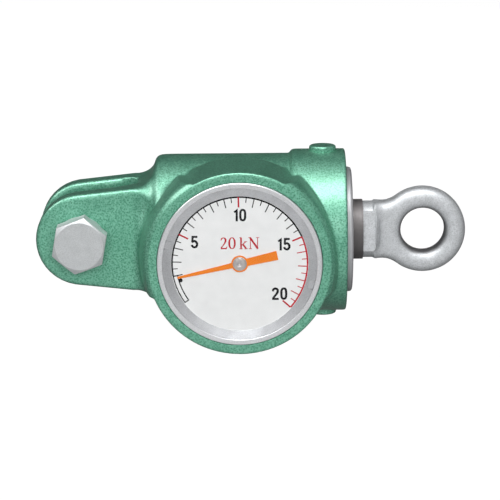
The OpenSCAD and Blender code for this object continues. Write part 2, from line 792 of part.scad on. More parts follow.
// Toothed sector with its arbor, tail lever and lever pin
module sector_gear() {
    tooth_pitch = 360 / wheel_teeth;
    tooth_last = ceil(sector_range / tooth_pitch) + 1;
    arm = sector_pitch_r - 1.2 * tooth_module;
    color("gold") {
        on_gauge(sector_h) translate([sector_pivot[0], sector_pivot[1], 0]) {
            rotate([0, 0, mesh_angle - tooth_last * tooth_pitch])
                rotate_extrude(angle = (tooth_last + 1) * tooth_pitch, $fn = 4 * fine)
                    translate([arm - 2.2, 0]) square([2.2, sector_t]);
            for (i = [-1 : tooth_last])
                rotate([0, 0, mesh_angle - i * tooth_pitch]) gear_tooth(sector_pitch_r, sector_t);
            for (a = [-tooth_last + 0.5, 0.5])
                rotate([0, 0, mesh_angle + a * tooth_pitch]) translate([0, -0.6, 0])
                    cube([arm - 1, 1.2, sector_t]);
            rotate([0, 0, lever_angle]) translate([0, -1.2, 0])
                cube([lever_len, 2.4, sector_t]);
            cylinder(r = 2.2, h = sector_t, $fn = 48);
            translate([0, 0, back_plate_h - sector_h])
                cylinder(r = arbor_r, h = plate_gap + 2 * plate_t, $fn = 48);
        }
        on_gauge(sector_h) translate([lever_pin[0], lever_pin[1], 0]) {
            cylinder(r = 1.2, h = sector_t, $fn = 32);
            cylinder(r = pin_r, h = link_h + link_t + pin_r - sector_h, $fn = 32);
        }
    }
}

// Flat link from the sector's lever to the tube's tip
module link() {
    run = tip_pin - lever_pin;
    reach = norm(run);
    color("gold") on_gauge(link_h) translate([lever_pin[0], lever_pin[1], 0])
        rotate([0, 0, atan2(run[1], run[0])]) difference() {
            union() {
                translate([0, -pin_r, 0]) cube([reach, 2 * pin_r, link_t]);
                cylinder(r = 2.4 * pin_r, h = link_t, $fn = 32);
                translate([reach, 0, 0]) cylinder(r = 2.6 * pin_r, h = link_t, $fn = 32);
            }
            translate([0, 0, -cut]) cylinder(r = pin_r + fit, h = link_t + 2 * cut, $fn = 32);
            translate([reach, 0, -cut])
                cylinder(r = pin_r + link_hole_play, h = link_t + 2 * cut, $fn = 32);
        }
}

// Pinion and the shaft that carries the pointer
module pinion_arbor() {
    pinion_t = 2 * sector_t;
    color("gold") on_gauge() {
        translate([0, 0, back_plate_h]) cylinder(r = arbor_r, h = plate_gap + 2 * plate_t, $fn = 48);
        translate([0, 0, front_plate_h])
            cylinder(r = arbor_top_r, h = dial_face + dial_space / 2 - front_plate_h, $fn = 48);
        translate([0, 0, sector_h - sector_t / 2]) {
            cylinder(r = pinion_pitch_r - 1.3 * tooth_module, h = pinion_t, $fn = 48);
            for (i = [0 : pinion_teeth - 1])
                rotate([0, 0, sector_angle + (i + 0.5) * 360 / pinion_teeth])
                    gear_tooth(pinion_pitch_r, pinion_t);
        }
    }
}

// Flat spiral that takes up the play of the teeth
module hairspring() {
    steps = 24 * spring_turns;
    inner = [for (i = [0 : steps]) let (r = collet_r + (spring_r - collet_r) * i / steps)
        r * [cos(i * 15), sin(i * 15)]];
    outer = [for (i = [steps : -1 : 0])
        let (r = collet_r + (spring_r - collet_r) * i / steps + spring_strip)
        r * [cos(i * 15), sin(i * 15)]];
    color("goldenrod") on_gauge(front_plate_h - 1.4) {
        linear_extrude(height = sector_t) polygon(concat(inner, outer));
        translate([spring_r + spring_strip, 0, 0]) cylinder(r = pin_r, h = 1.4, $fn = 32);
    }
}

module dial_plate() {
    color("white") on_gauge(dial_back) difference() {
        cylinder(r = case_rebate_r - fit, h = dial_t, $fn = fine);
        translate([0, 0, -cut]) cylinder(r = cap_r * 0.6, h = dial_t + 2 * cut, $fn = 48);
        rotate([0, 0, stop_angle]) translate([stop_reach, 0, -cut])
            cylinder(r = stop_r * 0.6 + fit, h = dial_t + 2 * cut, $fn = 32);
    }
}

module stop_pin() {
    color("black") on_gauge(dial_back) rotate([0, 0, stop_angle]) translate([stop_reach, 0, 0]) {
        cylinder(r = stop_r * 0.6, h = dial_t, $fn = 32);
        translate([0, 0, dial_t]) cylinder(r = stop_r, h = dial_space * 0.75, $fn = 32);
    }
}

// Sloping ring between the dial and the lens, with two small tabs
module dial_surround() {
    color("lightgray") on_gauge() {
        rotate_extrude($fn = fine)
            polygon([[dial_show_r, dial_face], [case_rebate_r - fit, dial_face],
                [case_rebate_r - fit, surround_top], [bezel_lip_r, surround_top],
                [dial_show_r, dial_face + surround_lip]]);
        for (a = tab_angles)
            rotate([0, 0, a]) translate([bezel_lip_r - tab_len - fit, -tab_w / 2, dial_face])
                cube([tab_len, tab_w, surround_top - dial_face]);
    }
}

// Orange pointer with a hub and a broad tail
pointer_t = 0.3;
pointer_h = dial_face + 0.4;

module pointer() {
    color("orange") on_gauge(pointer_h) difference() {
        union() {
            rotate([0, 0, pointer_rest]) linear_extrude(height = pointer_t) {
                polygon([[0, -pointer_root_w / 2], [pointer_tip, -pointer_tip_w / 2],
                    [pointer_tip, pointer_tip_w / 2], [0, pointer_root_w / 2]]);
                polygon([[0, tail_root_w / 2], [-pointer_tail, tail_end_w / 2],
                    [-pointer_tail, -tail_end_w / 2], [0, -tail_root_w / 2]]);
            }
            cylinder(r = hub_r, h = pointer_t + fit, $fn = fine);
            translate([0, 0, -pointer_t]) cylinder(r = hub_r / 2, h = pointer_t + fit, $fn = 48);
        }
        translate([0, 0, -2 * cut]) cylinder(r = arbor_top_r + fit, h = 4 * cut, $fn = 48);
    }
}

// Bright domed cap on the pointer's hub
module pointer_cap() {
    dome = pointer_t;
    sphere_r = (pow(cap_r, 2) + pow(dome, 2)) / (2 * dome);
    color("silver") on_gauge(pointer_h + pointer_t + fit) difference() {
        intersection() {
            cylinder(r = cap_r, h = dome, $fn = fine);
            rotate_extrude($fn = fine) intersection() {
                translate([0, dome - sphere_r]) circle(r = sphere_r, $fn = 4 * fine);
                square([cap_r, dome]);
            }
        }
        translate([0, 0, -cut]) cylinder(r = arbor_top_r + fit, h = cut + dome / 3, $fn = 48);
    }
}

module lens_gasket() {
    color("black") on_gauge(gasket_back) ring(case_r, case_rebate_r + fit, gasket_t);
}

module lens() {
    color("white", 0.2) on_gauge(lens_back) cylinder(r = case_r, h = lens_t, $fn = fine);
}

// Bright ring that holds the lens on the case
module bezel() {
    lip_round = bezel_lip_t * 0.8;
    color("gainsboro") on_gauge() rotate_extrude($fn = fine) {
        translate([bezel_lip_r, lens_face]) square([bezel_r - lip_round - bezel_lip_r, bezel_lip_t]);
        translate([case_r + gauge_clear, lens_face - bezel_skirt])
            square([bezel_r - case_r - gauge_clear, bezel_skirt + bezel_lip_t - lip_round]);
        translate([bezel_r - lip_round, bezel_face - lip_round]) circle(r = lip_round, $fn = 32);
    }
}

// Hexagon with its outer corners turned down, standing on height zero
module hex_blank(h) {
    intersection() {
        cylinder(r = hex_r, h = h, $fn = 6);
        rotate_extrude($fn = fine)
            polygon([[0, 0], [hex_r + cut, 0], [hex_r + cut, h - (hex_r + cut - 0.95 * hex_flats / 2) / 2],
                [0.95 * hex_flats / 2, h], [0, h]]);
    }
}

module clevis_bolt() {
    color("lightgray") {
        along_bolt(head_seat) rotate([0, 0, head_turn]) hex_blank(head_h);
        along_bolt(-bolt_tail) cylinder(r = bolt_r, h = bolt_tail + head_seat + lap, $fn = fine);
    }
}

// Split ring under the bolt's head
module spring_washer() {
    color("gray") along_bolt(ear_face) difference() {
        ring(spring_washer_r, bolt_r + bolt_fit, spring_washer_t);
        rotate([0, 20, -60]) translate([0, -spring_washer_t / 3, -cut])
            cube([2 * spring_washer_r, spring_washer_t / 1.5, 3 * spring_washer_t]);
    }
}

module nut_washer() {
    color("lightgray") along_bolt(-nut_seat) ring(washer_r, bolt_r + bolt_fit, washer_t);
}

module clevis_nut() {
    color("lightgray") along_bolt(-nut_seat) rotate([180, 0, 0]) difference() {
        hex_blank(nut_h);
        translate([0, 0, -cut]) cylinder(r = bolt_r + bolt_fit, h = nut_h + 2 * cut, $fn = fine);
    }
}

housing();
collar_plugs();
end_cap();
cap_seal();
rod_seal();
rod_wiper();
piston();
piston_seal();
thrust_race_front();
thrust_balls();
thrust_race_rear();
rod_nut();
dust_collar();
eye();
gauge_case();
gauge_socket();
socket_seal();
bourdon_tube();
tube_tip();
back_plate();
front_plate();
plate_pillars();
sector_gear();
link();
pinion_arbor();
hairspring();
dial_plate();
stop_pin();
dial_surround();
pointer();
pointer_cap();
lens_gasket();
lens();
bezel();
clevis_bolt();
spring_washer();
nut_washer();
clevis_nut();
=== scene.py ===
"""Looks of an in-line tension meter: painted clevis casting, dial gauge and swivelling eye."""

import math

import bmesh
import bpy
from mathutils import Matrix, Vector


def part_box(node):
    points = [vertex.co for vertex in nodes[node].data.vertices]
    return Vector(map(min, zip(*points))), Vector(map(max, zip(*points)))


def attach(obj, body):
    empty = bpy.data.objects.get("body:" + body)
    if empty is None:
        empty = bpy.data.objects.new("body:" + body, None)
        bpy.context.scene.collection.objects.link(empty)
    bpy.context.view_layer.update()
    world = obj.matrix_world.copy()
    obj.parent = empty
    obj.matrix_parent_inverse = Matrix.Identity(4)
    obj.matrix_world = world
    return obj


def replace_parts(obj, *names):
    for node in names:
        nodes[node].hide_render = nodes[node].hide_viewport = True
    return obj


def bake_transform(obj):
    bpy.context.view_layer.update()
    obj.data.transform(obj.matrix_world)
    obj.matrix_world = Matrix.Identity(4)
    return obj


MM = 0.001

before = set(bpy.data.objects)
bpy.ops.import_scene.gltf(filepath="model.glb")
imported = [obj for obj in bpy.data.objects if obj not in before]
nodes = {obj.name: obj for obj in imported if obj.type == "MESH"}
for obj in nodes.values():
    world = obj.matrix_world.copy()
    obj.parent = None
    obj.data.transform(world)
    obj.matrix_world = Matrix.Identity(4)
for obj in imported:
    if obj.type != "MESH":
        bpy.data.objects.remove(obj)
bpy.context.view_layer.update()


# Places that the frame gives
def centre_of(node):
    low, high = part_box(node)
    return (low + high) / 2


def front_of(node):
    """How far a node reaches towards the camera, as a y."""
    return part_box(node)[0].y


gauge = centre_of("bezel")
dial_y = front_of("dial_plate")
bezel_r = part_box("bezel")[1].x - gauge.x
body_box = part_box("housing")


# Small sums in any node tree
def joined(tree, operation, a, b=0.0):
    """Result of one operation on a and b, each a socket or a number."""
    made = tree.nodes.new("ShaderNodeMath")
    made.operation = operation
    for socket, value in zip(made.inputs, (a, b)):
        if isinstance(value, (int, float)):
            socket.default_value = value
        else:
            tree.links.new(value, socket)
    return made.outputs[0]


def eased(tree, value, start, end):
    """0 before start and 1 after end, with a soft step between."""
    made = tree.nodes.new("ShaderNodeMapRange")
    made.interpolation_type = "SMOOTHSTEP"
    low, high = min(start, end), max(start, end)
    for socket, number in (("From Min", low), ("From Max", high), ("To Min", float(start > end)),
                           ("To Max", float(end > start))):
        made.inputs[socket].default_value = number
    tree.links.new(value, made.inputs["Value"])
    return made.outputs["Result"]


# Materials
class Paint:
    """A Principled material whose colour, roughness and bump come from procedural textures."""

    def __init__(self, name, colour, roughness, metallic=0.0, **sockets):
        self.material = bpy.data.materials.new(name)
        self.material.use_nodes = True
        self.tree = self.material.node_tree
        self.shader = self.tree.nodes["Principled BSDF"]
        self.coords = self.tree.nodes.new("ShaderNodeTexCoord").outputs["Object"]
        self.set("Base Color", (*colour, 1))
        self.set("Roughness", roughness)
        self.set("Metallic", metallic)
        for key, value in sockets.items():
            self.set(key.replace("_", " "), value)

    def set(self, socket, value):
        self.shader.inputs[socket].default_value = value

    def node(self, kind, **settings):
        made = self.tree.nodes.new("ShaderNode" + kind)
        for key, value in settings.items():
            setattr(made, key, value)
        return made

    def link(self, source, target):
        self.tree.links.new(source, target)

    def placed(self, centre, turn=(0, 0, 0)):
        """Object coordinates about a centre, turned."""
        made = self.node("Mapping", vector_type="TEXTURE")
        made.inputs["Location"].default_value = centre
        made.inputs["Rotation"].default_value = turn
        self.link(self.coords, made.inputs["Vector"])
        return made.outputs[0]

    def split(self, vector):
        """The three coordinates of a vector."""
        made = self.node("SeparateXYZ")
        self.link(vector, made.inputs[0])
        return made.outputs

    def vector(self, x, y):
        """Flat vector of two coordinates."""
        made = self.node("CombineXYZ")
        self.link(x, made.inputs["X"])
        self.link(y, made.inputs["Y"])
        return made.outputs[0]

    def distance(self, x, y):
        """Distance from an axis, from the two coordinates across it."""
        made = self.node("VectorMath", operation="LENGTH")
        self.link(self.vector(x, y), made.inputs[0])
        return made.outputs["Value"]

    def noise(self, size, detail=2.0, vector=None):
        """Soft noise with spots of about this size."""
        made = self.node("TexNoise")
        made.inputs["Scale"].default_value = 1 / size
        made.inputs["Detail"].default_value = detail
        self.link(vector or self.coords, made.inputs["Vector"])
        return made.outputs["Fac"]

    def cells(self, size):
        """Rounded cells of about this size: 0 in the middle of a cell."""
        made = self.node("TexVoronoi", feature="SMOOTH_F1")
        made.inputs["Scale"].default_value = 1 / size
        made.inputs["Smoothness"].default_value = 0.6
        self.link(self.coords, made.inputs["Vector"])
        return made.outputs["Distance"]

    def math(self, operation, a, b=0.0):
        return joined(self.tree, operation, a, b)

    def spread(self, value, low, high, to_low, to_high):
        """value carried from one range to another."""
        made = self.node("MapRange")
        for socket, number in zip(("From Min", "From Max", "To Min", "To Max"),
                                  (low, high, to_low, to_high)):
            made.inputs[socket].default_value = number
        self.link(value, made.inputs["Value"])
        return made.outputs["Result"]

    def ramp(self, value, *stops):
        """Colour for a value, from (place, colour) stops."""
        made = self.node("ValToRGB")
        points = made.color_ramp.elements
        while len(points) < len(stops):
            points.new(0.5)
        for point, (place, colour) in zip(points, stops):
            point.position = place
            point.color = (*colour, 1)
        self.link(value, made.inputs["Fac"])
        return made.outputs["Color"]

    def mix(self, factor, a, b):
        """Colour a where factor is 0 and b where it is 1; a and b are sockets or colours."""
        made = self.node("Mix", data_type="RGBA")
        self.link(factor, made.inputs["Factor"])
        for key, value in (("A", a), ("B", b)):
            if isinstance(value, tuple):
                made.inputs[key].default_value = (*value, 1)
            else:
                self.link(value, made.inputs[key])
        return made.outputs["Result"]

    def colour(self, socket):
        self.link(socket, self.shader.inputs["Base Color"])

    def roughness(self, value, low, high, to_low, to_high):
        self.link(self.spread(value, low, high, to_low, to_high), self.shader.inputs["Roughness"])

    def bump(self, height, depth, strength=1.0):
        """Relief of this depth."""
        made = self.node("Bump")
        made.inputs["Distance"].default_value = depth
        made.inputs["Strength"].default_value = strength
        self.link(height, made.inputs["Height"])
        self.link(made.outputs["Normal"], self.shader.inputs["Normal"])


def hammertone():
    """Green hammer-effect enamel: small dark dots in a paler green, with slow clouds."""
    p = Paint("hammertone_green", (0.09, 0.32, 0.21), 0.42, 0.4, Specular_IOR_Level=0.25,
              Coat_Weight=0.8, Coat_Roughness=0.33)
    cells = p.cells(0.85 * MM)
    fine = p.noise(0.4 * MM, 3.0)
    clouds = p.noise(9 * MM, 3.0)
    mottled = p.math("ADD", p.math("MULTIPLY", cells, 0.75), p.math("MULTIPLY", fine, 0.5))
    green = p.ramp(mottled, (0.28, (0.022, 0.14, 0.083)), (0.48, (0.085, 0.315, 0.205)),
                   (0.76, (0.19, 0.49, 0.35)))
    p.colour(p.mix(p.spread(clouds, 0.35, 0.65, 0, 0.3), green, (0.06, 0.26, 0.165)))
    p.roughness(mottled, 0.3, 0.8, 0.4, 0.5)
    p.bump(cells, 0.06 * MM, 0.6)
    return p.material


def turned(name, colour, roughness, centre, axis, metallic=1.0, ring=0.25 * MM, depth=0.006 * MM):
    """Metal with the fine rings that a lathe leaves about an axis: 0 is x and 1 is y."""
    p = Paint(name, colour, roughness, metallic)
    turn = ((0, 0, 0), (0, 0, math.pi / 2))[axis]
    place = p.split(p.placed(centre, turn))
    rings = p.noise(ring, 3.0, vector=p.vector(p.distance(place["Y"], place["Z"]), place["X"]))
    cloud = p.noise(3 * MM, 3.0)
    p.roughness(rings, 0.3, 0.7, roughness * 0.75, roughness * 1.35)
    tone = [tuple(c * k for c in colour) for k in (0.82, 1.0, 1.1)]
    shade = p.ramp(rings, (0.3, tone[0]), (0.5, tone[1]), (0.7, tone[2]))
    p.colour(p.mix(p.spread(cloud, 0.3, 0.7, 0, 0.25), shade, tone[0]))
    p.bump(rings, depth)
    return p.material


def grained(name, colour, roughness, metallic, grain, depth, patches=6 * MM, deep=0.78):
    """Paint with a fine grain and slow patches, which go down to deep times the colour."""
    p = Paint(name, colour, roughness, metallic)
    fine = p.noise(grain, 4.0)
    patch = p.noise(patches, 4.0)
    dark = tuple(c * deep for c in colour)
    light = tuple(min(1, c * 1.1) for c in colour)
    tone = p.ramp(fine, (0.3, dark), (0.52, colour), (0.72, light))
    p.colour(p.mix(p.spread(patch, 0.35, 0.7, 0, 0.4), tone, dark))
    p.roughness(patch, 0.3, 0.7, roughness * 0.85, roughness * 1.2)
    p.bump(fine, depth)
    return p


def satin(name, colour, roughness, metallic=1.0, grain=0.5 * MM, depth=0.02 * MM):
    """Satin metal with a fine grain, as blasting or zinc leaves."""
    return grained(name, colour, roughness, metallic, grain, depth).material


def forged_eye():
    """Zinc on a forged eye, with painted shade darkening the inside of its hole."""
    p = grained("satin_zinc", (0.62, 0.64, 0.66), 0.54, 0.45, 0.6 * MM, 0.035 * MM, 3 * MM, 0.72)
    low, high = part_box("eye")
    outer = (high.z - low.z) / 2
    place = p.split(p.placed((high.x - outer, 0, 0)))
    ragged = p.math("ADD", p.distance(place["X"], place["Z"]),
                    p.math("MULTIPLY", p.noise(4 * MM), 0.8 * MM))
    # Painted shade: the zinc is darkened inside the eye's hole, where the bore lies in shade.
    painted_hole_shade = p.spread(ragged, outer * 0.54, outer * 0.62, 0.85, 0)
    zinc_tone = p.shader.inputs["Base Color"].links[0].from_socket
    p.colour(p.mix(painted_hole_shade, zinc_tone, (0.10, 0.095, 0.10)))
    return p.material


def enamel(name, colour, roughness, gloss=0.5):
    """Even painted or moulded finish with a faint orange-peel surface."""
    p = Paint(name, colour, roughness, Specular_IOR_Level=gloss)
    peel = p.noise(0.8 * MM, 2.0)
    cloud = p.noise(7 * MM, 2.0)
    low = tuple(c * 0.95 for c in colour)
    p.colour(p.mix(p.spread(cloud, 0.3, 0.7, 0, 1), colour, low))
    p.roughness(peel, 0.3, 0.7, roughness * 0.9, roughness * 1.15)
    p.bump(peel, 0.004 * MM)
    return p.material


def clear_glass():
    """Window glass that lets the lamps through to the dial."""
    p = Paint("window_glass", (1, 1, 1), 0.02, Transmission_Weight=1.0, IOR=1.2)
    smear = p.noise(12 * MM, 3.0)
    p.roughness(smear, 0.35, 0.7, 0.0, 0.015)
    path = p.node("LightPath")
    clear = p.node("BsdfTransparent")
    mix = p.node("MixShader")
    shadowed = p.math("MAXIMUM", p.math("MAXIMUM", path.outputs["Is Shadow Ray"],
                                        path.outputs["Is Diffuse Ray"]), path.outputs["Is Glossy Ray"])
    p.link(shadowed, mix.inputs[0])
    p.link(p.shader.outputs[0], mix.inputs[1])
    p.link(clear.outputs[0], mix.inputs[2])
    p.link(mix.outputs[0], p.tree.nodes["Material Output"].inputs["Surface"])
    return p.material


load_axis = (0, 0, 0)
dial_axis = tuple(gauge)
finishes = {
    "green": hammertone(),
    "disc": turned("polished_disc", (0.5, 0.5, 0.52), 0.5, load_axis, 0, metallic=0.3),
    "machined": turned("machined_steel", (0.5, 0.5, 0.52), 0.3, load_axis, 0),
    "dark": turned("oiled_steel", (0.17, 0.16, 0.16), 0.55, load_axis, 0, metallic=0.7,
                   ring=0.5 * MM, depth=0.02 * MM),
    "eye": forged_eye(),
    "bolt": satin("bolt_zinc", (0.60, 0.62, 0.63), 0.55, metallic=0.85, grain=0.35 * MM),
    "bezel": satin("bezel_satin", (0.78, 0.79, 0.81), 0.4, grain=0.3 * MM, depth=0.008 * MM),
    "surround": satin("surround_grey", (0.54, 0.55, 0.57), 0.36, metallic=0.85, grain=0.4 * MM,
                      depth=0.004 * MM),
    "dial": enamel("dial_white", (0.86, 0.87, 0.87), 0.5, gloss=0.1),
    "black": enamel("print_black", (0.012, 0.012, 0.014), 0.5, gloss=0.05),
    "red": enamel("print_red", (0.5, 0.02, 0.035), 0.5, gloss=0.05),
    "orange": enamel("pointer_orange", (0.90, 0.24, 0.03), 0.5, gloss=0.1),
    "cap": turned("turned_cap", (0.52, 0.49, 0.48), 0.36, dial_axis, 1, metallic=0.7),
    "brass": satin("brass", (0.62, 0.44, 0.18), 0.3),
    "copper": satin("bronze", (0.6, 0.33, 0.18), 0.32),
    "rubber": enamel("black_rubber", (0.025, 0.025, 0.025), 0.6),
    "glass": clear_glass(),
}
dressed = {
    "green": ("housing", "collar_plugs"),
    "disc": ("end_cap", "thrust_balls"),
    "machined": ("piston", "thrust_race_front", "thrust_race_rear", "rod_nut", "gauge_case"),
    "dark": ("dust_collar",),
    "eye": ("eye",),
    "bolt": ("clevis_bolt", "spring_washer", "nut_washer", "clevis_nut"),
    "bezel": ("bezel",),
    "surround": ("dial_surround",),
    "dial": ("dial_plate",),
    "black": ("stop_pin",),
    "orange": ("pointer",),
    "cap": ("pointer_cap",),
    "brass": ("gauge_socket", "tube_tip", "back_plate", "front_plate", "plate_pillars",
              "sector_gear", "link", "pinion_arbor"),
    "copper": ("socket_seal", "bourdon_tube", "hairspring"),
    "rubber": ("cap_seal", "rod_seal", "rod_wiper", "piston_seal", "lens_gasket"),
    "glass": ("lens",),
}
for finish, names in dressed.items():
    for name in names:
        mesh = nodes[name].data
        mesh.materials.clear()
        mesh.materials.append(finishes[finish])


# Mesh helpers: edges turn sharp past this angle
SHARP = math.radians(35)


def piece(name, bm, finish, body):
    """Closed mesh with a finish, which rides on a body if one is given."""
    bmesh.ops.recalc_face_normals(bm, faces=bm.faces)
    mesh = bpy.data.meshes.new(name)
    bm.to_mesh(mesh)
    bm.free()
    mesh.materials.append(finishes[finish])
    mesh.polygons.foreach_set("use_smooth", [True] * len(mesh.polygons))
    mesh.set_sharp_from_angle(angle=SHARP)
    made = bpy.data.objects.new(name, mesh)
    bpy.context.scene.collection.objects.link(made)
    if body:
        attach(made, body)
    return made


def arc(centre, radius, start, end, steps=6):
    """Points of an arc in radius and height, both ends included, in degrees."""
    return [(centre[0] + radius * math.cos(math.radians(start + (end - start) * i / steps)),
             centre[1] + radius * math.sin(math.radians(start + (end - start) * i / steps)))
            for i in range(steps + 1)]


def spun(bm, profile, place, turns=160):
    """Closed ring or knob: profile points, radius and height, carried round the axis of place."""
    rows = []
    for radius, height in profile:
        if radius < 1e-7:
            rows.append([bm.verts.new(place(0, 0, height))])
        else:
            rows.append([bm.verts.new(place(radius * math.cos(2 * math.pi * i / turns),
                                            radius * math.sin(2 * math.pi * i / turns), height))
                         for i in range(turns)])
    for low, high in zip(rows, rows[1:] + rows[:1]):
        if len(low) == 1 and len(high) == 1:
            continue
        for i in range(turns):
            j = (i + 1) % turns
            corners = [low[i % len(low)], low[j % len(low)], high[j % len(high)], high[i % len(high)]]
            bm.faces.new(list(dict.fromkeys(corners)))


def on_dial(u, v, height):
    """Point at u to the right of the gauge's axis, v above it and height before its plane."""
    return Vector((gauge.x + u, -height, gauge.z + v))


def ribbon(bm, line, base, rise, closed=False):
    """Raised print along a line of (u, v, width) points in mm on the dial, as a closed solid."""
    ends = []
    count = len(line)
    for i, (u, v, width) in enumerate(line):
        here = Vector((u, v))
        ways = []
        for j, k in ((i - 1, i), (i, i + 1)):
            if closed or (j >= 0 and k < count):
                step = Vector(line[k % count][:2]) - Vector(line[j % count][:2])
                ways.append(step.normalized())
        way = sum(ways, Vector((0, 0))).normalized()
        stretch = 1 / max(0.45, way.dot(ways[0]))
        side = Vector((-way.y, way.x)) * width / 2 * stretch
        corners = [here + side, here - side]
        ends.append([bm.verts.new(on_dial(c.x * MM, c.y * MM, h))
                     for h in (base, base + rise) for c in corners])
    for a, b in list(zip(ends, ends[1:])) + ([(ends[-1], ends[0])] if closed else []):
        for i, j in ((0, 1), (1, 3), (3, 2), (2, 0)):
            bm.faces.new((a[i], a[j], b[j], b[i]))
    if not closed:
        for end in (ends[0], ends[-1]):
            bm.faces.new((end[0], end[1], end[3], end[2]))


def bar(u0, v0, u1, v1, width):
    """Straight stroke."""
    return (False, [(u0, v0, width), (u1, v1, width)])


def loop(half_u, half_v, u, v, side, end, power=0.72, steps=32):
    """Closed oval of a figure nought, thicker at its sides than at its ends."""
    points = []
    for i in range(steps):
        a = 2 * math.pi * i / steps
        c, s = math.cos(a), math.sin(a)
        points.append((u + half_u * math.copysign(abs(c) ** power, c),
                       v + half_v * math.copysign(abs(s) ** power, s), end + (side - end) * abs(c)))
    return (True, points)


# Figures of the dial: the width of each, then its strokes as (closed, points) in mm from its foot
BOLD = 0.86
FIGURES = {
    "0": (2.95, [loop(1.04, 2.27, 1.47, 2.7, BOLD, 0.8)]),
    "1": (1.75, [(False, [(0.2, 3.95, 0.7), (1.3, 4.75, 0.8), (1.3, 0, BOLD)])]),
    "2": (3.0, [(False, [(0.42, 3.75, 0.8), (0.5, 4.35, 0.8), (0.95, 4.88, 0.8), (1.5, 5.0, 0.8),
                         (2.1, 4.85, 0.82), (2.52, 4.3, BOLD), (2.5, 3.55, BOLD),
                         (2.1, 2.7, BOLD), (1.3, 1.7, 0.8), (0.65, 0.8, 0.8), (0.5, 0.4, 0.8)]),
                bar(0.1, 0.4, 2.95, 0.4, 0.8)]),
    "5": (3.1, [(False, [(2.8, 5.0, 0.8), (0.75, 5.0, 0.8), (0.6, 2.6, 0.76)]),
                (False, [(0.5, 2.5, 0.74), (0.95, 3.0, 0.74), (1.6, 3.15, 0.78), (2.2, 2.8, BOLD),
                         (2.6, 2.1, BOLD), (2.6, 1.35, BOLD), (2.2, 0.65, BOLD), (1.6, 0.4, 0.78),
                         (0.95, 0.55, 0.76), (0.5, 1.05, 0.8), (0.42, 1.5, 0.84)])]),
}
RATING = {
    "2": (3.2, [(False, [(0.3, 3.9, 0.3), (0.6, 4.6, 0.42), (1.25, 5.0, 0.3), (1.9, 4.85, 0.5),
                         (2.3, 4.2, 0.66), (2.25, 3.4, 0.66), (1.8, 2.5, 0.5), (1.0, 1.4, 0.36),
                         (0.3, 0.45, 0.4)]),
                (False, [(0.2, 0.28, 0.5), (2.5, 0.28, 0.5), (2.95, 1.1, 0.22)])]),
    "0": (3.2, [loop(1.2, 2.4, 1.6, 2.6, 0.66, 0.26, 0.95)]),
    "k": (3.7, [bar(0.85, 0.05, 0.85, 5.1, 0.6), bar(0.15, 5.0, 0.9, 5.05, 0.22),
                bar(0.15, 0.12, 1.6, 0.12, 0.22), bar(0.9, 1.55, 2.9, 3.2, 0.28),
                bar(1.6, 2.1, 3.1, 0.15, 0.6), bar(2.2, 3.25, 3.5, 3.25, 0.22),
                bar(2.3, 0.12, 3.75, 0.12, 0.22)]),
    "N": (4.9, [bar(0.9, 0.1, 0.9, 5.0, 0.28), bar(0.8, 5.0, 4.1, 0.1, 0.68),
                bar(4.0, 0.1, 4.0, 5.1, 0.28), bar(0.05, 5.05, 1.2, 5.05, 0.22),
                bar(0.2, 0.12, 1.6, 0.12, 0.22), bar(3.3, 5.05, 4.75, 5.05, 0.22)]),
    " ": (0.9, []),
}
# Faces of the print: their glyphs, height and gap in mm, and how much bolder they are drawn
NUMBER_FACE = (FIGURES, 5.4, 0.65, 1.25)
RATING_FACE = (RATING, 5.2, 0.25, 1.3)
face_scale = 1.1


# Modifiers on the frame's own meshes
def soften(node, voxel):
    """Cast or forged look: the mesh is closed up in small voxels, and its edges are rounded."""
    modifiers = nodes[node].modifiers
    modifiers.new("weld", "WELD").merge_threshold = 0.01 * MM
    remesh = modifiers.new("voxels", "REMESH")
    remesh.mode = "VOXEL"
    remesh.voxel_size = voxel
    remesh.use_smooth_shade = True
    smooth = modifiers.new("round", "SMOOTH")
    smooth.factor = 0.5
    smooth.iterations = 1


def moved_vertices(node, purpose):
    """Adds a modifier that moves vertices: gives its tree, their coordinates and the move's inputs."""
    tree = bpy.data.node_groups.new(f"{node}_{purpose}", "GeometryNodeTree")
    for way in ("INPUT", "OUTPUT"):
        tree.interface.new_socket("Geometry", in_out=way, socket_type="NodeSocketGeometry")
    before, after = tree.nodes.new("NodeGroupInput"), tree.nodes.new("NodeGroupOutput")
    move = tree.nodes.new("GeometryNodeSetPosition")
    tree.links.new(before.outputs[0], move.inputs["Geometry"])
    tree.links.new(move.outputs[0], after.inputs[0])
    nodes[node].modifiers.new(purpose, "NODES").node_group = tree
    parts = tree.nodes.new("ShaderNodeSeparateXYZ")
    tree.links.new(tree.nodes.new("GeometryNodeInputPosition").outputs[0], parts.inputs[0])
    return tree, parts.outputs, move.inputs


def fillet(node, passes, reaches):
    """Blends the creases of a cast node where all these (axis, start, end) ranges hold."""
    tree, parts, move = moved_vertices(node, "fillet")
    weight = 1.0
    for axis, start, end in reaches:
        weight = joined(tree, "MULTIPLY", eased(tree, parts[axis], start, end), weight)
    blur = tree.nodes.new("GeometryNodeBlurAttribute")
    blur.data_type = "FLOAT_VECTOR"
    blur.inputs["Iterations"].default_value = passes
    place = tree.nodes.new("GeometryNodeInputPosition").outputs[0]
    tree.links.new(place, next(s for s in blur.inputs if s.enabled and s.type == "VECTOR"))
    tree.links.new(weight, blur.inputs["Weight"])
    tree.links.new(next(s for s in blur.outputs if s.enabled), move["Position"])


